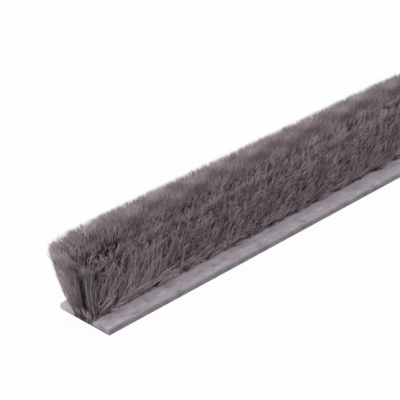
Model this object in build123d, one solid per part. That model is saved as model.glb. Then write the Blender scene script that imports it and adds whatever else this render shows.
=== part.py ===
"""Brush seal strip: a flat plastic backing with a dense woven pile standing along its middle.

Millimetres, +Z up. The strip runs along X and is centred on the origin, with the
underside of its backing at Z = 0. Both ends are cut square through backing and pile.
The pile is narrow where it is bound into the backing and spreads towards its tips.
At a cut end nothing holds the last tufts back, so they splay out past the cut and
flare sideways, which gives the block its fishtail ends.
"""

import os

from build123d import *

# The whole strip
strip_length = 1000.0
overall_height = 9.1

# Backing: the flat strip whose two free edges slide into a carrier's slot
backing_width = 6.9
backing_thickness = 0.63
backing_edge_radius = 0.08

# Pile: its root on the backing and its spread at the tips
root_width = 2.6
tip_width = 5.2
crown_height = 0.25
spread_power = 0.7

# Pile at a cut end: how far the tips lean past the cut and how they flare sideways
end_splay = 2.0
end_flare = 0.25
flare_reach = 5.0
root_corner_radius = 0.25
tip_corner_radius = 1.1
shoulder_radius = 0.8

# Heights of the pile's outlines, as shares of its height from root to tips
outline_rises = (0.0, 0.2, 0.5, 0.8, 1.0)

pile_height = overall_height - backing_thickness


def spread(at_root, at_tips, rise):
    """A size of the pile at one share of its height; it grows fastest just above the root."""
    return at_root + (at_tips - at_root) * rise**spread_power


def backing():
    """The flat strip, its long edges rounded as they leave the die, its ends cut square."""
    section = Plane.YZ * Pos(0, backing_thickness / 2) * RectangleRounded(
        backing_width, backing_thickness, backing_edge_radius
    )
    return extrude(section, strip_length / 2, both=True)


def pile_outline(rise):
    """The pile seen from above at one height: straight sides, flared ends, rounded corners."""
    half_width = spread(root_width, tip_width, rise) / 2
    corner_half_width = half_width + spread(0, end_flare, rise)
    reach = strip_length / 2 + spread(0, end_splay, rise)
    corner_radius = spread(root_corner_radius, tip_corner_radius, rise)
    corner_start = reach - corner_radius
    end_half_width = corner_half_width - corner_radius
    flare_start = strip_length / 2 - flare_reach

    side = Line((-flare_start, half_width), (flare_start, half_width))
    flare = Spline(
        (flare_start, half_width),
        (corner_start, corner_half_width),
        tangents=[(1, 0), (1, 0)],
    )
    corner = RadiusArc(
        (corner_start, corner_half_width), (reach, end_half_width), corner_radius
    )
    end = Line((reach, end_half_width), (reach, -end_half_width))
    quarter = [flare, corner]
    half = [*quarter, end, *(curve.mirror(Plane.XZ) for curve in quarter)]
    other_half = [curve.mirror(Plane.YZ) for curve in half]
    outline = Wire([side, side.mirror(Plane.XZ), *half, *other_half])
    height = backing_thickness + pile_height * rise
    return Pos(0, 0, height) * Face(outline)


def crowned_space():
    """All that lies under the crown of the tips, which stand highest along the middle."""
    half_width = tip_width / 2 + end_flare + end_splay
    fall = crown_height * (2 * half_width / tip_width) ** 2
    crown = ThreePointArc(
        (-half_width, overall_height - fall), (0, overall_height), (half_width, overall_height - fall)
    )
    outline = Wire([
        crown,
        Line(crown @ 1, (half_width, 0)),
        Line((half_width, 0), (-half_width, 0)),
        Line((-half_width, 0), crown @ 0),
    ])
    return extrude(Plane.YZ * Face(outline), strip_length / 2 + 2 * end_splay, both=True)


def pile():
    """The block of upright fibres as one closed solid: a loft from root to tips, crowned."""
    block = loft([pile_outline(rise) for rise in outline_rises])
    crowned = block & crowned_space()
    top_face = crowned.faces().sort_by(Axis.Z)[-1]
    return fillet(top_face.edges(), shoulder_radius)


parts = {
    "backing_strip": backing(),
    "pile": pile(),
}

os.makedirs("parts", exist_ok=True)
for name, shape in parts.items():
    export_step(shape, f"parts/{name}.step")
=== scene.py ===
# %% [markdown]
# # A brush seal strip
# The real strip is a flat, pale plastic backing with a dense brush of fine fibres standing
# along its middle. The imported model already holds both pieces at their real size: the
# backing, which is right as it is and only needs its finish, and a plain block that stands
# for the brush. This lesson dresses the backing and grows the brush fibre by fibre.
# Everything is in metres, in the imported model's own frame: X runs along the strip and
# Z points up.

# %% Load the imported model
import math

import bpy
import numpy as np
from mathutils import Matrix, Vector


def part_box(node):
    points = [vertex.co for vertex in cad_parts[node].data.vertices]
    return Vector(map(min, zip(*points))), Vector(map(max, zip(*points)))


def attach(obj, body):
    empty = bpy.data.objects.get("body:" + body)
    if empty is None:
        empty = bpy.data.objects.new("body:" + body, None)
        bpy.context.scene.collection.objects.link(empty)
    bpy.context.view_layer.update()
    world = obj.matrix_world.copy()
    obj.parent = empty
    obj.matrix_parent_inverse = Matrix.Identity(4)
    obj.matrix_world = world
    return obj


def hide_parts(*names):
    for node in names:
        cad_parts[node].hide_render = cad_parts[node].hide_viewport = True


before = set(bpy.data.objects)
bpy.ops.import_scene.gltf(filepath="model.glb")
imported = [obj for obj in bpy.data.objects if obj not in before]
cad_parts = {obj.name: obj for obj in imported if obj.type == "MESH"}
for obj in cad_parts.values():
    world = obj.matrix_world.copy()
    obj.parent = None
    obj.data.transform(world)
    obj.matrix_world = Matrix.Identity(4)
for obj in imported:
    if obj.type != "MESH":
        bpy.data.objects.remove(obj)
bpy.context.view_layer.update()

print("pieces in the packed model:", sorted(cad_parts))

# %% [markdown]
# ## Sizes
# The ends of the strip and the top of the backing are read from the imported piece. The
# sizes of the brush are the ones that its block was made with: narrow at the root, wider
# at the tips, and splayed out past each cut end. The ragged tips stand a little higher
# than the block.

# %% Sizes of the strip and of its brush
mm = 0.001
backing_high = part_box("backing_strip")[1]
strip_end = backing_high.x
backing_top = backing_high.z
full_length = 2 * strip_end

tips_height = 9.3 * mm
pile_height = tips_height - backing_top
root_half_width = 1.3 * mm
tip_half_width = 2.6 * mm
spread_power = 0.7
root_corner = 0.25 * mm
tip_corner = 0.6 * mm

end_splay = 1.95 * mm
end_flare = 0.25 * mm
end_reach = 4.5 * mm
splay_power = 0.66
print(f"brush {pile_height / mm:.2f} mm tall, splayed {end_splay / mm:.2f} mm past each cut")

# %% [markdown]
# ## One fibre
# A brush fibre is a fine plastic thread, thickest where it leaves the backing and finer
# at its tip. Hair curves would be the quick way to make thousands of them, but then the
# fibres would not be part of the mesh. So one fibre is modelled as a three-sided spike:
# a cone is added, and it is cut across at even heights, so that each copy can bend there.
# Three sides are enough for a thread thinner than a pixel.


# %% Model one fibre, with as many bends as a copy will need
def model_fibre(bands):
    """A three-sided spike, one unit tall, cut across into that many bands."""
    bpy.ops.object.select_all(action="DESELECT")
    bpy.ops.mesh.primitive_cone_add(
        vertices=3, radius1=1, radius2=0, depth=1, end_fill_type="NGON", location=(0, 0, 0.5)
    )
    fibre = bpy.context.object
    fibre.name = f"fibre_with_{bands}_bands"
    bpy.ops.object.transform_apply(location=True, rotation=True, scale=True)
    bpy.ops.object.mode_set(mode="EDIT")
    for band in range(1, bands):
        bpy.ops.mesh.select_all(action="SELECT")
        bpy.ops.mesh.bisect(plane_co=(0, 0, band / bands), plane_no=(0, 0, 1))
    bpy.ops.object.mode_set(mode="OBJECT")
    return fibre


def read_fibre(bands):
    """The fibre's corners, as a ring number and a turn about its axis, and its faces."""
    fibre = model_fibre(bands)
    mesh = fibre.data
    corners = np.array([vertex.co for vertex in mesh.vertices])
    pattern = {
        "ring": np.rint(corners[:, 2] * bands).astype(int),
        "turn": np.arctan2(corners[:, 1], corners[:, 0]),
        "loops": np.array([loop.vertex_index for loop in mesh.loops]),
        "starts": np.array([face.loop_start for face in mesh.polygons]),
        "bands": bands,
        "triangles": sum(len(face.vertices) - 2 for face in mesh.polygons),
    }
    bpy.data.objects.remove(fibre)
    bpy.data.meshes.remove(mesh)
    return pattern


straight_fibre = read_fibre(1)
bent_fibre = read_fibre(2)
wavy_fibre = read_fibre(3)
long_fibre = read_fibre(7)
for pattern in (straight_fibre, bent_fibre, wavy_fibre, long_fibre):
    print(f"a fibre of {pattern['bands']} bands has {pattern['triangles']} triangles")

# %% [markdown]
# ## Copies of the fibre
# Each copy is the same spike, laid along its own path: every ring of the spike goes to
# one point of the path, square to it. The copies of one region are joined in one mesh,
# which is far lighter than thousands of objects. A copy also gets a place on a UV map:
# across the map lies its tint, which differs a little from its neighbours' and carries the
# light and shade painted on its tuft, and up the map lies the way from root to tip, along
# which the root shade is painted. The material reads both.

# %% Lay copies of the fibre along paths
fibre_map = "OFBake"
tint_column = 1 / 64


def directions(paths):
    """Unit directions along each path, at each of its points."""
    along = np.gradient(paths, axis=1)
    return along / np.linalg.norm(along, axis=2, keepdims=True)


def lay_copies(name, pattern, paths, radii, tints, turns, shades):
    """One mesh of copies. radii is each path's radius at each point; shades runs root to tip."""
    count, points, _ = paths.shape
    forward = directions(paths)
    sideways = np.stack([np.cos(turns), np.sin(turns), np.zeros(count)], axis=1)[:, None]
    sideways = sideways - (sideways * forward).sum(2, keepdims=True) * forward
    sideways /= np.linalg.norm(sideways, axis=2, keepdims=True)
    square = np.cross(forward, sideways)

    ring, turn = pattern["ring"], pattern["turn"]
    reach = radii[:, ring, None]
    round_it = np.cos(turn)[:, None] * sideways[:, ring] + np.sin(turn)[:, None] * square[:, ring]
    corners = paths[:, ring] + reach * round_it

    corners_each, loops_each = len(ring), len(pattern["loops"])
    first_corner = np.arange(count)[:, None] * corners_each
    loops = (pattern["loops"][None] + first_corner).ravel()
    starts = (pattern["starts"][None] + np.arange(count)[:, None] * loops_each).ravel()

    mesh = bpy.data.meshes.new(name)
    mesh.vertices.add(count * corners_each)
    mesh.vertices.foreach_set("co", corners.astype(np.float32).ravel())
    mesh.loops.add(len(loops))
    mesh.loops.foreach_set("vertex_index", loops.astype(np.int32))
    mesh.polygons.add(len(starts))
    mesh.polygons.foreach_set("loop_start", starts.astype(np.int32))
    mesh.update(calc_edges=True)
    mesh.polygons.foreach_set("use_smooth", np.ones(len(starts), bool))

    # The corners lie apart in the tint's narrow column, so no face of the map is flat.
    across = (0.5 + 0.4 * np.cos(turn + 0.4)) * tint_column
    map_u = tints[:, None] * (1 - tint_column) + across[None]
    map_v = shades[:, ring]
    places = np.stack([map_u, map_v], axis=2)[:, pattern["loops"]]
    layer = mesh.uv_layers.new(name=fibre_map)
    layer.uv.foreach_set("vector", places.astype(np.float32).ravel())

    piece = bpy.data.objects.new(name, mesh)
    bpy.context.scene.collection.objects.link(piece)
    triangles = count * pattern["triangles"]
    print(f"{name}: {count} fibres, {triangles} triangles")
    return piece


print(f"{1 / tint_column:.0f} columns of tints fit side by side on the map")

# %% [markdown]
# ## How the fibres run
# The fibres are bound tightly into the backing and spread towards their tips, fastest
# just above the root. At a cut end nothing holds the last ones back, so they lean out
# past the cut. A fibre near the surface therefore follows a line from a point of the
# root's outline to the matching point of the tips' outline. These helpers give both
# points, and the direction that faces out of the brush, for the long sides, for the end
# and for the rounded corners between them.


# %% Follow the spread of the brush
def eased(share):
    """A share of the way, kept between 0 and 1, with a soft start and a soft end."""
    share = np.clip(share, 0, 1)
    return share * share * (3 - 2 * share)


def near_cut(distance):
    """1 at the cut end, easing to 0 where the cut is no longer felt."""
    return eased(1 - distance / end_reach)


def side_stations(distance, side):
    """Root, tip and outward direction on a long side, at a distance from the near cut."""
    near_pull, far_pull = near_cut(distance), near_cut(full_length - distance)
    lean = (end_splay - tip_corner + root_corner) * (far_pull - near_pull)
    flare = end_flare * (near_pull + far_pull)
    x_root = -strip_end + distance
    root = np.stack([x_root, side * root_half_width], axis=1)
    tip = np.stack([x_root + lean, side * (tip_half_width + flare)], axis=1)
    outward = np.stack([np.zeros_like(distance), side], axis=1)
    return root, tip, outward


def end_stations(across):
    """Root, tip and outward direction on the cut end. across runs from -1 to 1."""
    root_flat = root_half_width - root_corner
    tip_flat = tip_half_width + end_flare - tip_corner
    ones = np.ones_like(across)
    root = np.stack([-strip_end * ones, across * root_flat], axis=1)
    tip = np.stack([-(strip_end + end_splay) * ones, across * tip_flat], axis=1)
    return root, tip, np.stack([-ones, 0 * ones], axis=1)


def corner_stations(turn, side):
    """The same round a corner of the cut end. turn runs from 0, the side, to 1, the end."""
    angle = turn * math.pi / 2
    outward = np.stack([-np.sin(angle), side * np.cos(angle)], axis=1)

    def rounded(corner, splay, half_width):
        x_centre = np.full_like(turn, corner - strip_end - splay)
        centre = np.stack([x_centre, side * (half_width - corner)], axis=1)
        return centre + corner * outward

    root = rounded(root_corner, 0, root_half_width)
    tip = rounded(tip_corner, end_splay, tip_half_width + end_flare)
    return root, tip, outward


def at_rise(root, tip, rise):
    """The plan place of each fibre at each rise, 0 at the root and 1 at the tips."""
    rise = np.clip(rise, 0, None)
    share = np.stack([rise**splay_power, rise**spread_power], axis=-1)
    return root[:, None] + (tip - root)[:, None] * share


for distance in (0, end_reach / 2, end_reach):
    print(f"{distance / mm:.2f} mm from the cut its pull is {near_cut(distance):.2f}")

# %% [markdown]
# ## How high the tips stand
# The tips are cut level, but the outermost fibres lean out and so end lower. That rounds
# the two long shoulders of the brush, the front one more than the back one, and lets the
# splayed ends sink. Close to a cut even the middle has settled a little.

# %% Let the tips drop at the shoulders and the ends
crown = 0.1 * mm
shoulder_from = 0.35
shoulder_limit = 1.4
front_shoulder_drop = 0.5 * mm
back_shoulder_drop = 0.25 * mm
shoulder_lost_at_end = 0.55
end_drop = 1.1 * mm
end_limit = 1.2
end_settled = 0.16 * mm
settled_over = 3 * mm


def tip_drop(x, y):
    """How far the tips lie below the middle of the brush, at its shoulders and its ends."""
    across = np.abs(y) / tip_half_width
    shoulder = np.clip((across - shoulder_from) / (1 - shoulder_from), 0, shoulder_limit)
    past_cut = np.abs(x) - strip_end
    beyond = np.clip(past_cut / end_splay, 0, end_limit)
    fall = np.where(y < 0, front_shoulder_drop, back_shoulder_drop)
    fall = fall * (1 - shoulder_lost_at_end * beyond)
    settled = np.clip(past_cut / settled_over + 1, 0, 1)
    return crown * across**2 + fall * shoulder**2 + end_drop * beyond**2 + end_settled * settled


for spot, x, y in (("front shoulder", 0, -tip_half_width), ("cut end", strip_end + end_splay, 0)):
    print(f"the tips drop {tip_drop(x, y) / mm:.2f} mm at the {spot}")

# %% [markdown]
# ## Tufts
# The fibres don't stand singly. They cling together in small tufts, whose tips draw
# together and part from the next tuft, and that is what gives the side of the brush its
# streaks and dark gaps. So places and leanings are drawn for each tuft first, and then
# its fibres are scattered about it, wider at their feet than at their tips. All draws
# come from one seeded source, so the brush is the same each time.

# %% A seeded source, even places and a slow drift
seed = 2718
draw = np.random.default_rng(seed)
# The inverse of the plastic number, and its square. Places stepped by them fill a
# rectangle evenly and don't fall into rows.
even_steps = np.array([0.7548776662, 0.5698402910])


def even_scatter(count, low, high):
    """Pairs of values, spread evenly between the two low and the two high ones."""
    shares = (draw.uniform(0, 1, 2) + np.arange(count)[:, None] * even_steps) % 1
    low, high = np.array(low), np.array(high)
    return (low + (high - low) * shares).T


def patches(along, up, size):
    """A smooth drift between -1 and 1 over the surface, as if the pile had been stroked."""
    first = np.sin(2.1 * along / size + 1.3 * np.sin(1.7 * up / size))
    second = np.sin(3.7 * up / size - 1.2 * along / size + 2.0)
    return (first + second) / 2


print("random source seeded with", seed)

# %% [markdown]
# ### The paths of a tuft's fibres
# A fibre starts inside the brush and comes out of it as it rises, but hardly at the root,
# where the backing holds it. It leans along the strip with its tuft, bows a little, and
# ends where the tips were cut, or lower. A kind of tuft is a table of values, most of them
# a range or a spread to draw from. start says how far up its fibres begin, and length how
# long they are. lean tilts them along the strip. inside and outside say how far from the
# surface they begin and end, and foot and head how widely they scatter there. bow curves
# them, and ragged ends them short of the level cut. patch is the size of the slow drift
# that patch_lean and patch_out follow. The values that begin with own are a single
# fibre's, on top of its tuft's.

# %% Paths of fibres in tufts near the surface
start_spread = 0.05
length_spread = (0.75, 1.15)
inside_spread = 0.12
steepest_lean = 1.2
other_patches = 0.1
outward_curve = 1.4
held_at_root, freed_by_rise = 0.4, 2.4


def surface_paths(stations, starts, pattern, tuft):
    """Paths of fibres in tufts near the surface. stations and starts have a row a tuft."""
    fibres = tuft["fibres"]
    root, tip, outward = (np.repeat(part, fibres, axis=0) for part in stations)
    tufts, count = len(stations[0]), len(root)

    def each_tuft(low, high):
        return np.repeat(draw.uniform(low, high, tufts), fibres)

    def each_fibre(low, high):
        return draw.uniform(low, high, count)

    start = np.repeat(starts, fibres) + each_fibre(-start_spread, start_spread)
    length = each_tuft(*tuft["length"]) * each_fibre(*length_spread)
    lean = np.repeat(draw.normal(tuft["lean"], tuft["lean_spread"], tufts), fibres)
    lean = lean + draw.normal(0, tuft["own_lean"], count)
    stroked = patches(root[:, 0], start * pile_height, tuft["patch"])
    lean = np.clip(lean + tuft["patch_lean"] * stroked, -steepest_lean, steepest_lean)
    inside = each_tuft(*tuft["inside"]) + each_fibre(-inside_spread, inside_spread) * mm
    outside = each_tuft(*tuft["outside"]) + draw.normal(0, tuft["loose"], count)
    inside = inside + tuft["tied"] * outside
    pushed_out = patches(root[:, 0] + other_patches, start * mm, tuft["patch"])
    outside = outside + tuft["patch_out"] * pushed_out
    foot = draw.normal(0, tuft["foot"], count)
    head = draw.normal(0, tuft["head"], count)
    bow = each_tuft(-1, 1) * tuft["bow"] + each_fibre(-1, 1) * tuft["own_bow"]

    lowest = tuft["lowest"]
    start = np.clip(start, lowest, None)
    rise_length = length * np.cos(lean) / pile_height
    tips_end = tip + outside[:, None] * outward
    ragged = np.abs(draw.normal(0, tuft["ragged"], count))
    highest = 1 - (tip_drop(tips_end[:, 0], tips_end[:, 1]) + ragged) / pile_height
    rise_length = np.minimum(rise_length, highest - lowest)
    start = start - np.clip(start + rise_length - highest, 0, None)

    along_it = np.linspace(0, 1, pattern["bands"] + 1)
    rise = start[:, None] + rise_length[:, None] * along_it
    plan = at_rise(root, tip, rise)
    tangent = np.stack([-outward[:, 1], outward[:, 0]], axis=1)
    tangent *= np.where(tangent[:, :1] < 0, -1, 1)
    out = inside[:, None] + (outside - inside)[:, None] * along_it**outward_curve
    out = out * np.where(out > 0, np.clip(held_at_root + freed_by_rise * rise, 0, 1), 1)
    side = foot[:, None] * (1 - along_it) + head[:, None] * along_it
    side = side + (length * np.sin(lean))[:, None] * along_it
    side = side + bow[:, None] * np.sin(math.pi * along_it)
    plan = plan + out[..., None] * outward[:, None] + side[..., None] * tangent[:, None]
    height = backing_top + pile_height * rise
    return np.concatenate([plan, height[..., None]], axis=2)


def tuft_tips(paths, tuft):
    """Where the first fibre of each tuft ends: all the X, all the Y and all the Z."""
    return paths[:: tuft["fibres"], -1].T


# %% [markdown]
# ## The finish of the fibres
# The fibres are dyed plastic, mauve grey and matt, with a slight shine along each thread.
# They look darker towards the root, where shade falls deep in the packed tufts, and
# lighter at the cut tips. A colour ramp from root to tip paints that shade, and each
# fibre's own tint shifts it a little. First come some short helpers, which every finish here uses.


# %% Helpers for colours and nodes
def from_screen(red, green, blue):
    """A colour as seen on a screen, 0 to 255, as the linear values that a shader takes."""
    values = [channel / 255 for channel in (red, green, blue)]
    linear = [v / 12.92 if v <= 0.04045 else ((v + 0.055) / 1.055) ** 2.4 for v in values]
    return (*linear, 1.0)


def new_material(name):
    """A new material, its node tree and its shader."""
    material = bpy.data.materials.new(name)
    material.use_nodes = True
    return material, material.node_tree, material.node_tree.nodes["Principled BSDF"]


def fill(tree, node, inputs):
    """Set each of these inputs to its plain value, or link it to the output it is given."""
    for name, value in inputs.items():
        if isinstance(value, bpy.types.NodeSocket):
            tree.links.new(value, node.inputs[name])
        else:
            node.inputs[name].default_value = value


def add_node(tree, kind, inputs):
    """A node of this kind, with these inputs filled."""
    node = tree.nodes.new(kind)
    fill(tree, node, inputs)
    return node


def ramp(tree, value, stops):
    """The colour of a ramp at this value. Each stop is a place and a colour."""
    node = add_node(tree, "ShaderNodeValToRGB", {"Fac": value})
    elements = node.color_ramp.elements
    while len(elements) < len(stops):
        elements.new(0.5)
    for element, (place, colour) in zip(elements, stops):
        element.position = place
        element.color = colour
    return node.outputs["Color"]


def mixed(tree, factor, first, second, blend="MIX"):
    """The first colour turning into the second one, or multiplied by it."""
    node = tree.nodes.new("ShaderNodeMix")
    node.data_type = "RGBA"
    node.blend_type = blend
    fill(tree, node, {"Factor": factor, "A": first, "B": second})
    return node.outputs["Result"]


print("a screen's middle grey is", round(from_screen(128, 128, 128)[0], 3), "in a shader")

# %% The finish of the fibres
# The dark root colour is painted shade, for the shade deep in the packed brush.
shaded_fibre_root = from_screen(130, 117, 121)
fibre_middle = from_screen(170, 157, 161)
fibre_tip = from_screen(178, 165, 169)
root_shade_stops = ((0.0, shaded_fibre_root), (0.55, fibre_middle), (1.0, fibre_tip))
tint_stops = (
    (0.0, (0.45, 0.42, 0.43, 1)),
    (0.5, (0.95, 0.93, 0.94, 1)),
    (0.85, (1.32, 1.31, 1.33, 1)),
    (1.0, (1.7, 1.7, 1.72, 1)),
)


def fibre_material():
    """The way up the fibre's map gives its colour, with painted shade towards the root, and the
    way across it gives its tint.
    """
    material, tree, shader = new_material("pile_fibre_finish")
    on_map = tree.nodes.new("ShaderNodeUVMap")
    on_map.uv_map = fibre_map
    split = add_node(tree, "ShaderNodeSeparateXYZ", {"Vector": on_map.outputs["UV"]})
    up = ramp(tree, split.outputs["Y"], root_shade_stops)
    tint = ramp(tree, split.outputs["X"], tint_stops)
    colour = mixed(tree, 1, up, tint, "MULTIPLY")
    fill(tree, shader, {"Base Color": colour, "Roughness": 0.55, "Specular IOR Level": 0.35})
    return material


fibre_finish = fibre_material()
print("made", fibre_finish.name)

# %% [markdown]
# ## A finished piece of the brush
# All the fibres of one region become one piece. Here each gets its thickness, its tint
# and its turn. The piece takes the finish, rides on the strip, and stands for the packed
# block. unlike says how far the tints go apart, because on the top they are more alike.

# %% Grow one piece of the brush
thickness_spread = (0.75, 1.25)
tip_share = 0.35
taper_power = 1.5
brush_share, own_share = 0.3, 0.7
tuft_tints, own_tints = 0.17, 0.13
shade_limits = (0.01, 0.99)


def taper(count, points, thickness):
    """Radii along each fibre: full at the root, finer at the tip."""
    along_it = np.linspace(0, 1, points)
    own = draw.uniform(*thickness_spread, count)[:, None]
    return thickness / 2 * own * (1 - (1 - tip_share) * along_it**taper_power)


def shades_up(paths):
    """The way from root to tip, along the ramp of painted root shade: partly up the whole brush,
    and mostly up the fibre itself.
    """
    rise = np.clip((paths[..., 2] - backing_top) / pile_height, 0, 1)
    own = np.linspace(0, 1, paths.shape[1])[None]
    return brush_share * rise + own_share * own


def dress(piece, material):
    """The piece takes its material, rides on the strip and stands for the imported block."""
    piece.data.materials.append(material)
    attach(piece, "root")
    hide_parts("pile")


def grow(name, pattern, paths, thickness, tuft, tint, light, unlike=1.0):
    """Fibres along these paths as one finished piece. tint and light may have a value a tuft."""
    count, points, _ = paths.shape
    fibres = tuft["fibres"]
    radii = taper(count, points, thickness)
    tints = np.repeat(draw.normal(tint, tuft_tints * unlike, count // fibres), fibres)
    tints = np.clip(tints + draw.normal(0, own_tints * unlike, count), 0, 1)
    turns = draw.uniform(0, 2 * math.pi, count)
    # A tuft's light is painted light: it moves its fibres up the ramp, away from the painted root
    # shade.
    lights = np.repeat(np.broadcast_to(light, count // fibres), fibres)[:, None]
    shades = np.clip(shades_up(paths) * lights, *shade_limits)
    dress(lay_copies(name, pattern, paths, radii, tints, turns, shades), fibre_finish)


# %% [markdown]
# ## The near end, where the strip is looked at closely
# The sides come first. Their tufts start at any height, a little inside the brush, and
# come out of it as they rise, so that tips show all the way up.

# %% The tufts of the two long sides
near_length = 48.0 * mm
front, back = -1, 1
# Several of a side tuft's values paint light and shade into its tint: along the strip, inward from
# the edge, by the height of its tip and in patches near its foot.
side_tuft = {
    "fibres": 5,
    "lowest": 0.0,
    "tint": 0.54,
    "light": 1.0,
    "drift": (0.07, 0.0, 0.0),
    "painted_inward_shade": (0.0, 0.0, 0.0),
    "mottle": 0.18,
    "foot_shade": 0.38,
    "turning": (0.6, 0.75, 0.85, 0.95),
    "painted_light_by_rise": (0.0, 0.27, -0.05, -0.18),
    "start": (0.0, 0.8),
    "ragged": 0.3 * mm,
    "length": (0.7 * mm, 1.7 * mm),
    "lean": -0.12,
    "lean_spread": 0.27,
    "own_lean": 0.1,
    "inside": (-0.6 * mm, -0.2 * mm),
    "outside": (-0.3 * mm, 0.35 * mm),
    "tied": 0.0,
    "loose": 0.04 * mm,
    "foot": 0.08 * mm,
    "head": 0.04 * mm,
    "bow": 0.2 * mm,
    "own_bow": 0.06 * mm,
    "patch": 2.4 * mm,
    "patch_lean": 0.14,
    "patch_out": 0.1 * mm,
}
# The front shoulder's lower tint and light are painted shade, where the top turns down and away
# from the light.
shoulder_tuft = dict(
    side_tuft,
    tint=0.56,
    light=0.5,
    drift=(-0.1, -0.03, 0.04),
    painted_inward_shade=(-0.1, 0.0, 0.05),
    own_lean=0.12,
    head=0.08 * mm,
    loose=0.08 * mm,
    start=(0.7, 0.86),
    ragged=0.15 * mm,
    inside=(-0.45 * mm, -0.1 * mm),
    outside=(-1.6 * mm, 0.2 * mm),
    tied=1.0,
)
fine_thread = 0.08 * mm
back_thread = fine_thread * 1.2
# The back shoulder is painted lighter than the front one, as light falls on it.
back_shoulder_tuft = dict(
    shoulder_tuft,
    tint=0.75,
    light=1.0,
    drift=(0.0, 0.0, 0.0),
    painted_inward_shade=(0.0, 0.0, 0.0),
    head=0.14 * mm,
    loose=0.1 * mm,
    ragged=0.04 * mm,
)
print("a side tuft has", side_tuft["fibres"], "fibres")

# %% [markdown]
# ### Painted light and shade on the sides
# A side isn't one even colour, and its light and shade are painted into the tint of each
# tuft. A lighter band is painted below the top, and above it the tips are painted darker
# where the top turns down, away from the light. Near the cut the side is painted a little
# lighter. It is mottled all over, and near its foot patches of tufts are painted darker,
# for the shade in gaps between them. Close to the cut the tufts stand less densely.

# %% The two long sides near the cut
painted_light_places = (4 * mm, 16 * mm, 35 * mm)
inward_places = (0.5, 0.72, 0.88)
foot_rises = (0.06, 0.14, 0.3)
mottle_size, gap_size = 1.3 * mm, 0.7 * mm
gap_level, gap_contrast = 0.3, 1.5
thinned_length, thinned_share = 4 * mm, 0.35


def grow_side(name, stations, starts, pattern, tuft, thickness):
    """Tufts on a long side, with painted light and shade in their tints, darker where the top
    turns down into it.
    """
    paths = surface_paths(stations, starts, pattern, tuft)
    x_tip, y_tip, z_tip = tuft_tips(paths, tuft)
    tip_rise = (z_tip - backing_top) / pile_height
    # Painted light and shade by height, along the strip and inward; the mottle is the pile's own
    # uneven tone; then painted shade in patches near the foot.
    tint = tuft["tint"] + np.interp(tip_rise, tuft["turning"], tuft["painted_light_by_rise"])
    tint = tint + np.interp(stations[0][:, 0] + strip_end, painted_light_places, tuft["drift"])
    tip_across = np.abs(y_tip) / tip_half_width
    tint = tint + np.interp(tip_across, inward_places, tuft["painted_inward_shade"])
    tint = tint + tuft["mottle"] * patches(x_tip, tip_rise * pile_height, mottle_size)
    gaps = gap_level + gap_contrast * patches(x_tip, tip_rise * pile_height, gap_size)
    foot_shade = np.interp(tip_rise, foot_rises, (0, tuft["foot_shade"], 0))
    tint = tint - foot_shade * np.clip(gaps, 0, 1)
    grow(name, pattern, paths, thickness, tuft, tint, tuft["light"])


def side_tufts(name, side, tufts, pattern, tuft, thickness, low, high):
    """Tufts on one long side, between two distances from the near cut."""
    start_low, start_high = tuft["start"]
    distance, starts = even_scatter(tufts, (low, start_low), (high, start_high))
    moved = (distance < thinned_length) & (draw.uniform(0, 1, tufts) < thinned_share)
    distance = np.where(moved, distance + thinned_length, distance)
    stations = side_stations(distance, np.full(tufts, float(side)))
    grow_side(name, stations, starts, pattern, tuft, thickness)


near_side = (0.9 * mm, near_length)
near_shoulder = (0, near_length)
by_the_cut = (0, 5 * mm)
for name, side, tufts, tuft, thread, stretch in (
    ("pile_side_front", front, 3700, side_tuft, fine_thread, near_side),
    ("pile_side_back", back, 1500, side_tuft, back_thread, near_side),
    ("pile_shoulder_front", front, 1500, shoulder_tuft, fine_thread, near_shoulder),
    ("pile_shoulder_back", back, 1500, back_shoulder_tuft, fine_thread, near_shoulder),
    ("pile_shoulder_back_near", back, 90, back_shoulder_tuft, fine_thread, by_the_cut),
):
    side_tufts(name, side, tufts, bent_fibre, tuft, thread, *stretch)

# %% [markdown]
# ## The cut end
# At the cut the fibres are seen over their whole length, fanning out from the root. They
# need more bends, because a long fibre in a fan is a curve. They aren't spread evenly: a
# dense lock fills the back part, and in front of it a parting lets the inside show, painted
# dark as its shade. The lock is painted lighter towards the back, and the frayed strands at
# its root are painted light.

# %% Where the tufts of a cut end stand
end_tuft = dict(
    side_tuft,
    tint=0.64,
    lowest=-0.068,
    start=(-0.03, 0.35),
    length=(3.5 * mm, 8.0 * mm),
    lean=0.0,
    lean_spread=0.025,
    own_lean=0.012,
    inside=(-0.3 * mm, 0.05 * mm),
    outside=(-0.15 * mm, 0.22 * mm),
    foot=0.07 * mm,
    head=0.08 * mm,
    bow=0.12 * mm,
    patch_lean=0.0,
    patch_out=0.0,
)
near_lock_from, far_lock_from = -0.22, -1.0
# Across the near end, tint and light are painted: painted shade by the parting in front and
# painted light on the lock towards the back.
lock_places = (-0.3, 0.1, 0.5, 1.0)
lock_painted_light = (-0.25, -0.15, 0.1, 0.4)
lock_lights = (0.8, 0.8, 1.4, 2.5)
far_end_thread = fine_thread * 1.4


def join_stations(*groups):
    """The stations of several groups, one after the other."""
    return tuple(np.concatenate(parts) for parts in zip(*groups))


def end_of_strip(lock_from, tufts_on_end, on_front_corner, on_back_corner):
    """Stations on the cut end, from there to the back, and round its front and back corners."""
    groups = [end_stations(draw.uniform(lock_from, 1, tufts_on_end))]
    for side, tufts in ((front, on_front_corner), (back, on_back_corner)):
        turn = draw.uniform(0, 1, tufts)
        groups.append(corner_stations(turn, np.full(tufts, float(side))))
    return join_stations(*groups)


def end_paths(stations, pattern, tuft):
    """Paths of tufts that stand at these stations of a cut end."""
    starts = draw.uniform(*tuft["start"], len(stations[0]))
    return surface_paths(stations, starts, pattern, tuft)


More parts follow.
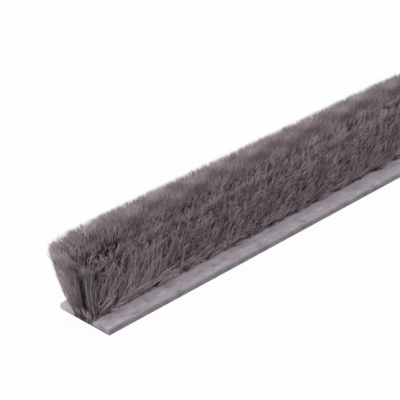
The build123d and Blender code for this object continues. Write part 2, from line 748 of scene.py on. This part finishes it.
def near_end_tufts(name, tufts, on_front_corner, on_back_corner, pattern, tuft):
    """Tufts on the near end: a dense lock, painted lighter towards the back, then a parting,
    painted darker.
    """
    stations = end_of_strip(near_lock_from, tufts, on_front_corner, on_back_corner)
    paths = end_paths(stations, pattern, tuft)
    across = stations[1][:, 1] / tip_half_width
    tint = tuft["tint"] + np.interp(across, lock_places, lock_painted_light)
    light = tuft["light"] * np.interp(across, lock_places, lock_lights)
    grow(name, pattern, paths, fine_thread, tuft, tint, light)


def end_patch(name, tufts, low, high, on_front_corner, pattern, tuft):
    """Tufts on a stretch of the near end, from low to high across it, and on its front corner."""
    turn = draw.uniform(0, 1, on_front_corner)
    front_corner = corner_stations(turn, np.full(on_front_corner, float(front)))
    stations = join_stations(end_stations(draw.uniform(low, high, tufts)), front_corner)
    paths = end_paths(stations, pattern, tuft)
    across = stations[1][:, 1] / tip_half_width
    # Painted light and shade across the end.
    tint = tuft["tint"] + np.interp(across, lock_places, tuft["painted_light_across"])
    grow(name, pattern, paths, fine_thread, tuft, tint, tuft["light"])


def far_end_tufts(name, tufts, on_corner, pattern, tuft):
    """Tufts all over the far end. They are laid on the near one and turned round."""
    stations = end_of_strip(far_lock_from, tufts, on_corner, on_corner)
    paths = end_paths(stations, pattern, tuft) * np.array([-1, -1, 1])
    grow(name, pattern, paths, far_end_thread, tuft, tuft["tint"], tuft["light"])


print("the lock covers", round((1 - near_lock_from) / 2, 2), "of the near end's width")

# %% The fan of fibres at the cut end
# The values across the end paint shade by the parting and light towards the back.
end_tip_tuft = dict(
    end_tuft,
    start=(0.0, 0.75),
    length=(1.4 * mm, 3.4 * mm),
    lean_spread=0.08,
    own_lean=0.04,
    inside=(-0.4 * mm, -0.1 * mm),
    outside=(-0.1 * mm, 0.35 * mm),
    head=0.2 * mm,
    painted_light_across=(-0.2, -0.15, 0.0, 0.3),
)
crest_tuft = dict(
    end_tip_tuft,
    start=(0.58, 0.8),
    ragged=0.15 * mm,
    length=(1.2 * mm, 2.6 * mm),
    lean_spread=0.2,
    painted_light_across=(-0.36, -0.26, 0.0, 0.3),
)
back_crest_tuft = dict(crest_tuft, start=(0.62, 0.8), ragged=0.04 * mm, lean_spread=0.1)
# The deep tufts are painted dark, for the shade inside the brush that the parting shows.
deep_tuft = dict(
    end_tuft,
    fibres=3,
    tint=0.3,
    painted_light_across=(0.0, 0.0, 0.0, 0.0),
    start=(0.0, 0.6),
    length=(2.0 * mm, 5.0 * mm),
    lean_spread=0.08,
    inside=(-0.6 * mm, -0.3 * mm),
    outside=(-0.75 * mm, -0.35 * mm),
)
# The frayed root strands are painted light, with a high tint and light, where light reaches the
# foot of the end.
frayed_tuft = dict(
    end_tuft,
    fibres=6,
    tint=1.0,
    light=12.0,
    painted_light_across=(0.0, -0.1, -0.2, -0.2),
    start=(-0.07, 0.04),
    length=(0.5 * mm, 1.2 * mm),
    lean_spread=0.15,
    own_lean=0.12,
    inside=(0.0 * mm, 0.05 * mm),
    outside=(-0.03 * mm, 0.1 * mm),
)
near_end_tufts("pile_end_near", 110, 9, 60, long_fibre, end_tuft)
near_end_tufts("pile_end_tips_near", 190, 16, 130, wavy_fibre, end_tip_tuft)
end_patch("pile_end_deep_near", 22, -1.0, -0.2, 10, wavy_fibre, deep_tuft)
end_patch("pile_end_crest_near", 100, -1.0, 1.0, 30, wavy_fibre, crest_tuft)
near_end_tufts("pile_end_back_crest_near", 8, 0, 46, wavy_fibre, back_crest_tuft)
end_patch("pile_frayed_near", 56, -1.0, 0.9, 3, bent_fibre, frayed_tuft)
far_end_tufts("pile_end_far", 190, 50, wavy_fibre, end_tuft)
far_end_tufts("pile_frayed_far", 16, 2, bent_fibre, frayed_tuft)

# %% [markdown]
# ## The top
# The tips are cut level on the machine, so the top is an even, fine nap. Only the last
# stretch of each fibre shows there, and that is all that is made of it. Towards the two
# shoulders these fibres bend outwards.

# %% Paths of the cut tips along the top
shoulder_bend = 0.5 * mm
top_tuft = {
    "fibres": 4,
    "drawn_in": (0.6, 1.0),
    "length": (1.0 * mm, 1.8 * mm),
    "uneven": 0.02 * mm,
    "own_uneven": 0.05 * mm,
    "lean_spread": 0.1,
    "own_lean": 0.14,
    "foot": 0.1 * mm,
    "head": 0.1 * mm,
}


def top_paths(places, tuft, pattern):
    """Paths of the fibres whose tips make the top. places: distance from the cut, and across."""
    tufts, fibres = places.shape[1], tuft["fibres"]
    distance, across = np.repeat(places, fibres, axis=1)
    across = across * np.repeat(draw.uniform(*tuft["drawn_in"], tufts), fibres)
    count = tufts * fibres
    near_pull, far_pull = near_cut(distance), near_cut(full_length - distance)
    x_root = -strip_end + distance
    x_tip = x_root + end_splay * (far_pull - near_pull)
    y_root = across * root_half_width
    y_tip = across * (tip_half_width - shoulder_bend + end_flare * (near_pull + far_pull))
    root = np.stack([x_root, y_root], axis=1)
    tip = np.stack([x_tip, y_tip], axis=1)

    length = draw.uniform(*tuft["length"], count)
    level = np.repeat(draw.normal(0, tuft["uneven"], tufts), fibres)
    level = level + draw.normal(0, tuft["own_uneven"], count)
    top = 1 + level / pile_height
    along_it = np.linspace(0, 1, pattern["bands"] + 1)
    rise = top[:, None] - (length / pile_height)[:, None] * (1 - along_it)
    plan = at_rise(root, tip, rise)
    lean = np.repeat(draw.normal(0, tuft["lean_spread"], (tufts, 2)), fibres, axis=0)
    lean = lean + draw.normal(0, tuft["own_lean"], (count, 2))
    foot = draw.normal(0, tuft["foot"], (count, 2))
    head = draw.normal(0, tuft["head"], (count, 2))
    plan = plan + foot[:, None] * (1 - along_it)[:, None] + head[:, None] * along_it[:, None]
    plan = plan + (lean * length[:, None])[:, None] * along_it[:, None]
    plan[..., 1] += (across * np.abs(across))[:, None] * shoulder_bend * along_it**2
    height = backing_top + pile_height * rise
    drop = tip_drop(plan[..., 0], plan[..., 1])
    return np.concatenate([plan, (height - drop)[..., None]], axis=2)


print("a fibre of the top shows up to", round(top_tuft["length"][1] / mm, 2), "mm of itself")

# %% [markdown]
# ### Painted light and shade on the top
# The top's light and shade are painted into its tufts' tints and lights. It is painted
# lightest at its front edge and darkest just in front of its middle, and the more so the
# farther it is from the cut. Close to the cut its back half is painted as catching more
# light. Last comes a ridge: a row of upright tips along the back edge, which gives the
# top its crisp far outline.

# %% The cut tips along the top
# Painted light and shade: the tint and light of each place across the top, on its front half away
# from the cut, and on its back half near the cut.
top_painted_light = ((-0.95, -0.72, -0.5, -0.2, 0.0, 0.5), (0.66, 0.46, 0.27, 0.27, 0.35, 0.47))
top_lights = ((-0.8, -0.1, 0.5), (0.4, 0.5, 1.0))
front_lighting = ((-0.75, -0.5, -0.2, 0.4), (1.0, 0.1, -0.6, 0.0))
front_lit_from_cut = ((8 * mm, 35 * mm), (0, 1))
front_lift = 0.2
cut_lighting = ((-0.7, 0), (0, 1))
cut_lit_from_cut = ((0.5 * mm, 3 * mm), (1, 0))
cut_tint, cut_light = 0.06, 0.9
top_mottle, top_mottle_size = 0.34, 1.5 * mm
top_unlike = 0.6


def grow_top(name, places, pattern, tuft, thickness):
    """Tufts along the top, with light and shade painted into each place's tint and light."""
    paths = top_paths(places, tuft, pattern)
    x_tip, y_tip, _ = tuft_tips(paths, tuft)
    from_cut, across = x_tip + strip_end, y_tip / tip_half_width
    tint = np.interp(across, *top_painted_light) + top_mottle * patches(x_tip, y_tip, top_mottle_size)
    light = np.interp(across, *top_lights)
    lit_front = np.interp(across, *front_lighting) * np.interp(from_cut, *front_lit_from_cut)
    lit_cut = np.interp(from_cut, *cut_lit_from_cut) * np.interp(across, *cut_lighting)
    tint = tint + front_lift * lit_front + cut_tint * lit_cut
    light = light + front_lift * lit_front
    light = light + (cut_light - light) * lit_cut
    grow(name, pattern, paths, thickness, tuft, tint, light, top_unlike)


top_thread = fine_thread * 0.9
front_limit, ridge_from = -0.95, 0.86
near_places = even_scatter(3350, (0, front_limit), (near_length, 1))
grow_top("pile_top_near", near_places, bent_fibre, top_tuft, top_thread)
ridge_tuft = dict(top_tuft, drawn_in=(0.97, 1.0), own_uneven=0.03 * mm, lean_spread=0.03)
ridge_places = even_scatter(350, (0, ridge_from), (near_length, 1))
grow_top("pile_ridge_near", ridge_places, bent_fibre, ridge_tuft, top_thread)

# %% [markdown]
# ## The fringe over the backing
# At the foot of the brush the outermost fibres are pushed over by the ones behind them.
# They lean out over the backing and along it, and leave a ragged, shaded edge.

# %% The fringe along the foot
# The fringe's raised tint and light, and its change along the strip, are painted light: lighter
# near the cut and darker farther on, where shade falls at the foot.
fringe_tuft = dict(
    side_tuft,
    tint=0.72,
    drift=(0.33, 0.12, -0.18),
    mottle=0.2,
    foot_shade=0.12,
    light=1.5,
    start=(0.0, 0.14),
    length=(0.7 * mm, 2.0 * mm),
    lean=0.25,
    lean_spread=0.6,
    own_lean=0.12,
    inside=(-0.3 * mm, -0.1 * mm),
    outside=(0.15 * mm, 1.05 * mm),
    patch=1.1 * mm,
    patch_out=0.65 * mm,
)
sweep_tuft = dict(
    fringe_tuft,
    tint=0.95,
    start=(0.0, 0.12),
    length=(1.4 * mm, 3.0 * mm),
    lean=0.5,
    lean_spread=0.25,
    own_lean=0.05,
    outside=(0.5 * mm, 1.1 * mm),
    patch_out=0.0,
)
fan_tuft = dict(
    side_tuft,
    fibres=2,
    tint=0.85,
    foot_shade=0.0,
    painted_light_by_rise=(0.0, 0.0, 0.0, 0.0),
    start=(0.0, 0.15),
    length=(3.0 * mm, 6.5 * mm),
    lean=0.08,
    lean_spread=0.22,
    own_lean=0.08,
    inside=(-0.2 * mm, 0.1 * mm),
    outside=(0.0 * mm, 0.5 * mm),
    bow=0.4 * mm,
    own_bow=0.15 * mm,
    patch_lean=0.0,
)
near_fan = (0, 4 * mm)
for name, side, tufts, pattern, tuft, stretch in (
    ("pile_fan_front", front, 60, long_fibre, fan_tuft, near_fan),
    ("pile_fringe_front", front, 170, wavy_fibre, fringe_tuft, (0.3 * mm, near_length)),
    ("pile_fringe_back", back, 150, wavy_fibre, fringe_tuft, (0.8 * mm, near_length)),
    ("pile_sweep_front", front, 9, long_fibre, sweep_tuft, near_fan),
):
    side_tufts(name, side, tufts, pattern, tuft, fine_thread, *stretch)

# %% [markdown]
# ## The rest of the length
# The strip runs on for a metre, far too long to grow every fibre of it. Beyond the near
# end the fibres stand singly over a body that carries the fine grain as streaks and bumps.
# Between the two the tufts thin out over 14 mm, so that no sharp joint shows, and at the
# far cut they close up again.

# %% Tufts that thin out beyond the near end and close up at the far cut
fade_length = 14.0 * mm
fade_tuft = dict(side_tuft, foot=0.12 * mm, head=0.08 * mm)
fade_shoulder_tuft = dict(shoulder_tuft, start=(0.72, 0.84))
fade_top_tuft = dict(top_tuft, fibres=5, foot=0.14 * mm)


def thinning(tufts, low, high):
    """Distances from the near cut that lie densest at low and run out towards high."""
    return low + (high - low) * (1 - np.sqrt(draw.uniform(0, 1, tufts)))


def fading_tufts(name, side, tufts, tuft, thickness, low, high):
    """Tufts on one long side that run out from low towards high."""
    distance = thinning(tufts, low, high)
    starts = draw.uniform(*tuft["start"], tufts)
    stations = side_stations(distance, np.full(tufts, float(side)))
    grow_side(name, stations, starts, straight_fibre, tuft, thickness)


def fading_top(name, tufts, thickness, low, high):
    """Tufts on the top that run out from low towards high."""
    places = np.stack([thinning(tufts, low, high), draw.uniform(-1, 1, tufts)])
    grow_top(name, places, straight_fibre, fade_top_tuft, thickness)


sides = ((front, "front"), (back, "back"))
fade_thread, far_thread = 0.1 * mm, 0.12 * mm
fade = (near_length - 1 * mm, near_length + fade_length)
far_reach = full_length - 12 * mm
for side, side_name in sides:
    for name, tufts, tuft, thread, stretch in (
        ("pile_fade", 600, fade_tuft, fade_thread, fade),
        ("pile_fade_shoulder", 260, fade_shoulder_tuft, fade_thread, fade),
        ("pile_far", 420, fade_tuft, far_thread, (full_length - 0.5 * mm, far_reach)),
    ):
        fading_tufts(f"{name}_{side_name}", side, tufts, tuft, thread, *stretch)
fading_top("pile_fade_top", 560, fade_thread, *fade)
fading_top("pile_far_top", 420, far_thread, full_length, far_reach)

# %% The long run of single fibres
run_tuft = dict(
    side_tuft,
    fibres=2,
    tint=0.35,
    start=(0.0, 0.84),
    length=(0.9 * mm, 2.0 * mm),
    lean_spread=0.3,
    inside=(-0.35 * mm, -0.2 * mm),
    outside=(-0.1 * mm, 0.25 * mm),
    foot=0.3 * mm,
    head=0.3 * mm,
)
run_thread = 0.14 * mm
run_from, run_to = near_length - 2 * mm, full_length - 0.3 * mm
run_fringe_tuft = dict(fringe_tuft, fibres=2, foot=0.2 * mm, head=0.2 * mm)
for side, side_name in sides:
    for name, tufts, tuft in (
        ("pile_run", 8000, run_tuft),
        ("pile_run_fringe", 1600, run_fringe_tuft),
    ):
        name = f"{name}_{side_name}"
        side_tufts(name, side, tufts, straight_fibre, tuft, run_thread, run_from, run_to)

run_top_tuft = dict(top_tuft, fibres=2, length=(0.5 * mm, 0.9 * mm), foot=0.3 * mm, head=0.3 * mm)
run_places = even_scatter(8000, (run_from, -1), (run_to, 1))
grow_top("pile_run_top", run_places, straight_fibre, run_top_tuft, run_thread)

# %% [markdown]
# ## The body of the brush
# Behind the outer fibres the brush is imported solid. One block stands there: near the cut
# it lies deep inside and is painted dark, for the shade that shows between the tufts. Along
# the rest of the strip it lies just under the tips and carries the look of the fibres
# itself: streaks for the fibres and painted shade between them, painted lighter towards its
# top. So its finish is two noises drawn out along the fibres, one of them turning into the other.

# %% The finish of the body
deep, shallow = 0.75 * mm, 0.14 * mm
body_rise = 0.7 * fade_length
shade_scale, fine_scale = (4200, 4200, 500), (9000, 9000, 800)
shade_stops = ((0.3, from_screen(34, 27, 30)), (0.55, from_screen(62, 52, 56)), (0.75, shaded_fibre_root))
fine_stops = (
    (0.36, from_screen(50, 41, 45)),
    (0.5, from_screen(112, 100, 104)),
    (0.62, from_screen(162, 149, 153)),
)
lit_from, lit_to = 7.6 * mm, 9.0 * mm
lit_stops = ((0.0, (1, 1, 1, 1)), (1.0, (1.5, 1.5, 1.5, 1)))


def places_on(tree):
    """The place on the piece itself, whole and as its X, Y and Z."""
    place = tree.nodes.new("ShaderNodeTexCoord").outputs["Object"]
    split = add_node(tree, "ShaderNodeSeparateXYZ", {"Vector": place})
    return place, split.outputs["X"], split.outputs["Y"], split.outputs["Z"]


def part_way(tree, value, start, end):
    """How far the value has come from start to end, between 0 and 1."""
    inputs = {"Value": value, "From Min": start, "From Max": end}
    return add_node(tree, "ShaderNodeMapRange", inputs).outputs["Result"]


def streaks(tree, place, scale, distortion=0):
    """Noise with a scale for each axis, and so drawn out along the one with the least."""
    stretch = add_node(tree, "ShaderNodeMapping", {"Scale": scale, "Vector": place})
    inputs = {"Scale": 1, "Detail": 3, "Distortion": distortion}
    noise = add_node(tree, "ShaderNodeTexNoise", inputs)
    tree.links.new(stretch.outputs["Vector"], noise.inputs["Vector"])
    return noise.outputs["Fac"]


def bump(tree, height, strength, distance):
    """The normal of a surface that this height roughens."""
    inputs = {"Height": height, "Strength": strength, "Distance": distance}
    return add_node(tree, "ShaderNodeBump", inputs).outputs["Normal"]


def body_material():
    """Dark streaks of painted shade behind the tufts, and the look of the fibres beyond them, with
    painted light towards the top.
    """
    material, tree, shader = new_material("pile_body_finish")
    place, x, _, z = places_on(tree)
    shade = ramp(tree, streaks(tree, place, shade_scale), shade_stops)
    fine_streaks = streaks(tree, place, fine_scale, distortion=0.3)
    fine = ramp(tree, fine_streaks, fine_stops)
    # The body is painted lighter towards its top, as light falls there.
    lighter = ramp(tree, part_way(tree, z, lit_from, lit_to), lit_stops)
    lit = mixed(tree, 1, fine, lighter, "MULTIPLY")
    along = part_way(tree, x, near_length - strip_end, near_length + body_rise - strip_end)
    inputs = {
        "Base Color": mixed(tree, along, shade, lit),
        "Normal": bump(tree, fine_streaks, strength=0.9, distance=0.12 * mm),
        "Roughness": 0.8,
        "Specular IOR Level": 0.1,
    }
    fill(tree, shader, inputs)
    return material


body_finish = body_material()
print("made", body_finish.name)

# %% [markdown]
# ### The shape of the body
# The body starts as a cube of the brush's size and is cut across where the brush bends or
# changes width. Each cut is then spread by the same law as the fibres, up to the same
# round top, and the two long top edges are bevelled.

# %% Cut a cube where the brush bends
level_cuts = (0.12, 0.3, 0.55, 0.8)
across_cuts = (0.35, 0.6, 0.8, 0.93)
end_cuts = (1.0 * mm, 2.5 * mm, 4.5 * mm)
rise_cuts = (near_length, near_length + 0.3 * fade_length, near_length + body_rise)
nearly_all = 0.999


def cut_cube():
    """A cube of the brush's length and root width, cut across where the brush bends."""
    bpy.ops.object.select_all(action="DESELECT")
    bpy.ops.mesh.primitive_cube_add(size=1, location=(0, 0, 0.5))
    body = bpy.context.object
    body.name = "pile_body"
    body.scale = (full_length, 2 * root_half_width, 1)
    bpy.ops.object.transform_apply(location=True, rotation=True, scale=True)
    stations = [end * (strip_end - cut) for cut in end_cuts for end in (-1, 1)]
    stations += [cut - strip_end for cut in rise_cuts]
    rows = [side * cut * root_half_width for cut in across_cuts for side in (-1, 1)]
    cuts = [((0, 0, level), (0, 0, 1)) for level in level_cuts]
    cuts += [((station, 0, 0), (1, 0, 0)) for station in stations]
    cuts += [((0, row, 0), (0, 1, 0)) for row in rows]
    bpy.ops.object.mode_set(mode="EDIT")
    for place, direction in cuts:
        bpy.ops.mesh.select_all(action="SELECT")
        bpy.ops.mesh.bisect(plane_co=place, plane_no=direction)
    bpy.ops.object.mode_set(mode="OBJECT")
    return body


def long_top_edges(body):
    """The edges along the two top corners of the cut cube."""
    places = [vertex.co for vertex in body.data.vertices]
    chosen = []
    for edge in body.data.edges:
        first, second = (places[corner] for corner in edge.vertices)
        on_top = min(first.z, second.z) > nearly_all
        on_side = min(abs(first.y), abs(second.y)) > nearly_all * root_half_width
        if on_top and on_side and first.y * second.y > 0:
            chosen.append(edge.index)
    return chosen


body = cut_cube()
print(f"{body.name}: {len(body.data.polygons)} faces after the cuts")

# %% Spread the cut cube into the body of the brush
body_bevel = 0.35 * mm
end_inset = 0.25 * mm


def body_inset(distance):
    """How deep the body lies, at a distance from the near cut."""
    return deep + (shallow - deep) * eased((distance - near_length) / body_rise)


def round_top_edges(body, edges):
    """Bevel these edges, and no others."""
    bpy.ops.object.mode_set(mode="EDIT")
    bpy.ops.mesh.select_mode(type="EDGE")
    bpy.ops.mesh.select_all(action="DESELECT")
    bpy.ops.object.mode_set(mode="OBJECT")
    for edge in edges:
        body.data.edges[edge].select = True
    bpy.ops.object.mode_set(mode="EDIT")
    bpy.ops.mesh.bevel(offset=body_bevel, segments=3)
    bpy.ops.object.mode_set(mode="OBJECT")


def spread_body(body):
    """Spread the cut cube as the fibres are, but inside them, and half as far in at the root."""
    for vertex in body.data.vertices:
        rise = vertex.co.z
        end = math.copysign(1, vertex.co.x)
        pull = float(near_cut(np.array(strip_end - abs(vertex.co.x))))
        inset = float(body_inset(vertex.co.x + strip_end))
        side_inset = inset * (0.5 + 0.5 * rise)
        spread = tip_half_width - root_half_width + end_flare * pull
        half_width = root_half_width + spread * rise**spread_power - side_inset
        vertex.co.y *= half_width / root_half_width
        vertex.co.x += end * (end_splay * rise**splay_power - max(side_inset, end_inset)) * pull
        drop = float(tip_drop(np.array(vertex.co.x), np.array(vertex.co.y)))
        vertex.co.z = backing_top + rise * (pile_height - inset - drop)


top_edges = long_top_edges(body)
spread_body(body)
round_top_edges(body, top_edges)
bpy.ops.object.shade_smooth()
dress(body, body_finish)
print(f"{body.name}: {len(body.data.polygons)} faces")

# %% [markdown]
# ## The backing
# The backing is a woven tape sealed in pale polypropylene, so it is smooth to the touch
# but shows a faint mottling of the weave, in lilac and grey. Its slit edges are painted
# darker, with painted shade, and the lower half of its edges more so, with a painted
# contact shadow. Light is painted close to the brush, to lift the shade there, and on one
# corner of its cut. It is a little translucent. Its shape is right as packed,
# so it only takes this finish.

# %% The finish of the backing
mottle_scale, nick_scale = (900, 1500, 1500), (900, 900, 900)
mottle_stops = (
    (0.3, from_screen(162, 155, 163)),
    (0.46, from_screen(205, 191, 205)),
    (0.55, from_screen(194, 190, 194)),
    (0.7, from_screen(224, 215, 224)),
)
# Painted shade on the slit edges, a painted contact shadow along the bottom of the edges, and
# painted light under the brush and on a corner of the cut.
painted_slit_shade_stops = ((0.35, from_screen(148, 142, 149)), (0.65, from_screen(176, 170, 177)))
contact_shadow_stops = ((0.35, from_screen(142, 140, 146)), (0.65, from_screen(180, 176, 183)))
painted_light_colour = from_screen(232, 222, 232)
corner_light_colour = from_screen(250, 247, 250)
slit_shade_band = (backing_high.y - 0.2 * mm, backing_high.y - 0.08 * mm)
painted_light_band = (1.85 * mm, 1.3 * mm)
contact_shadow_band = (0.3 * mm, 0.15 * mm)
cut_band = (0.9 * mm - strip_end, -strip_end)
back_corner = (1.0 * mm, 3.4 * mm)


def computed(tree, operation, *values):
    """What a Math node makes of these values."""
    node = tree.nodes.new("ShaderNodeMath")
    node.operation = operation
    fill(tree, node, dict(enumerate(values)))
    return node.outputs[0]


def backing_material():
    """Mottled all over, then painted with shade at the slit edges and low down, and with light
    under the brush and on a corner of the cut.
    """
    material, tree, shader = new_material("backing_finish")
    place, x, y, z = places_on(tree)
    across = computed(tree, "ABSOLUTE", y)
    mottle = streaks(tree, place, mottle_scale)
    nicks = streaks(tree, place, nick_scale)
    slit = part_way(tree, across, *slit_shade_band)
    under = part_way(tree, across, *painted_light_band)
    low = part_way(tree, z, *contact_shadow_band)
    lit_corner = computed(
        tree, "MULTIPLY", part_way(tree, x, *cut_band), part_way(tree, y, *back_corner)
    )

    # The mottle is the weave's own; the rest is painted shade at the slit edges and low down, and
    # painted light under the brush and on the cut's corner.
    colour = ramp(tree, mottle, mottle_stops)
    colour = mixed(tree, slit, colour, ramp(tree, nicks, painted_slit_shade_stops))
    colour = mixed(tree, under, colour, painted_light_colour)
    colour = mixed(tree, low, colour, ramp(tree, nicks, contact_shadow_stops))
    colour = mixed(tree, lit_corner, colour, corner_light_colour)
    inputs = {
        "Base Color": colour,
        "Normal": bump(tree, mottle, strength=0.35, distance=0.05 * mm),
        "Roughness": 0.5,
        "Subsurface Weight": 0.3,
        "Subsurface Scale": 0.5 * mm,
        "Subsurface Radius": (1.0, 0.9, 1.0),
    }
    fill(tree, shader, inputs)
    return material


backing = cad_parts["backing_strip"]
backing_finish = backing_material()
for material_slot in backing.material_slots:
    material_slot.material = backing_finish
print("backing dressed in", backing_finish.name)

# %% [markdown]
# ## Floor, light and camera
# A white floor under a white sky, and one broad, soft light from the upper left, as in a
# small product studio. At the level that lights the strip well, floor and sky would look
# grey. So the camera is shown others: a nearly white floor, which still takes the strip's
# shadow, and a pure white sky. The camera stands where the photograph was taken from:
# close to the near end, looking along the strip with a long lens.

# %% Floor
floor_grey = 0.35
white_share = 0.92
white = (1, 1, 1, 1)
nearly_white = (0.98, 0.98, 0.98, 1)


def show_camera(tree, lighting, shown, output):
    """The camera sees what is shown, and all other light comes from the lighting."""
    path = tree.nodes.new("ShaderNodeLightPath")
    inputs = {"Fac": path.outputs["Is Camera Ray"], 1: lighting.outputs[0], 2: shown.outputs[0]}
    blend = add_node(tree, "ShaderNodeMixShader", inputs)
    fill(tree, tree.nodes[output], {"Surface": blend.outputs[0]})


def floor_material():
    """Pale grey to the light that it sends back, and nearly pure white to the camera."""
    material, tree, shader = new_material("studio_floor")
    grey = (floor_grey, floor_grey, floor_grey, 1)
    fill(tree, shader, {"Base Color": grey, "Roughness": 0.9, "Specular IOR Level": 0.1})
    shaded = add_node(tree, "ShaderNodeBsdfDiffuse", {"Color": nearly_white})
    glow = add_node(tree, "ShaderNodeEmission", {"Color": white, "Strength": 1})
    inputs = {"Fac": white_share, 1: shaded.outputs[0], 2: glow.outputs[0]}
    shown = add_node(tree, "ShaderNodeMixShader", inputs)
    show_camera(tree, shader, shown, "Material Output")
    return material


floor_half_size = 8.0
bpy.ops.object.select_all(action="DESELECT")
bpy.ops.mesh.primitive_plane_add(size=2 * floor_half_size, location=(0, 0, 0))
floor = bpy.context.object
floor.name = "floor"
floor.data.materials.append(floor_material())
print("floor", 2 * floor_half_size, "m across")

# %% Light
key_direction = Vector((-0.5, -0.28, 1.0))
sun = bpy.data.lights.new("soft_key", "SUN")
sun.energy = 1.8
sun.angle = math.radians(70)
key = bpy.data.objects.new("soft_key", sun)
key.rotation_euler = key_direction.to_track_quat("Z", "Y").to_euler()
bpy.context.scene.collection.objects.link(key)

world = bpy.data.worlds.new("studio_sky")
bpy.context.scene.world = world
world.use_nodes = True
sky_tree = world.node_tree
sky = sky_tree.nodes["Background"]
fill(sky_tree, sky, {"Color": white, "Strength": 0.4})
shown_sky = add_node(sky_tree, "ShaderNodeBackground", {"Color": white, "Strength": 1})
show_camera(sky_tree, sky, shown_sky, "World Output")
print("sun of", sun.energy, "and sky of", sky.inputs["Strength"].default_value)

# %% Camera
camera_place = Vector((-0.0846, -0.0967, 0.0826)) + Vector((-strip_end, 0, 0))
camera_azimuth = math.radians(-46.07)
camera_elevation = math.radians(28.47)
towards_camera = Vector(
    (
        math.sin(camera_azimuth) * math.cos(camera_elevation),
        -math.cos(camera_azimuth) * math.cos(camera_elevation),
        math.sin(camera_elevation),
    )
)
lens = bpy.data.cameras.new("camera")
lens.sensor_width = 36
lens.lens = 143.9
lens.clip_start = 0.01
lens.clip_end = 50
camera = bpy.data.objects.new("camera", lens)
camera.location = camera_place
camera.rotation_euler = towards_camera.to_track_quat("Z", "Y").to_euler()
bpy.context.scene.collection.objects.link(camera)
bpy.context.scene.camera = camera
bpy.context.scene.view_settings.view_transform = "Standard"
print("camera at", [round(value, 4) for value in camera_place])
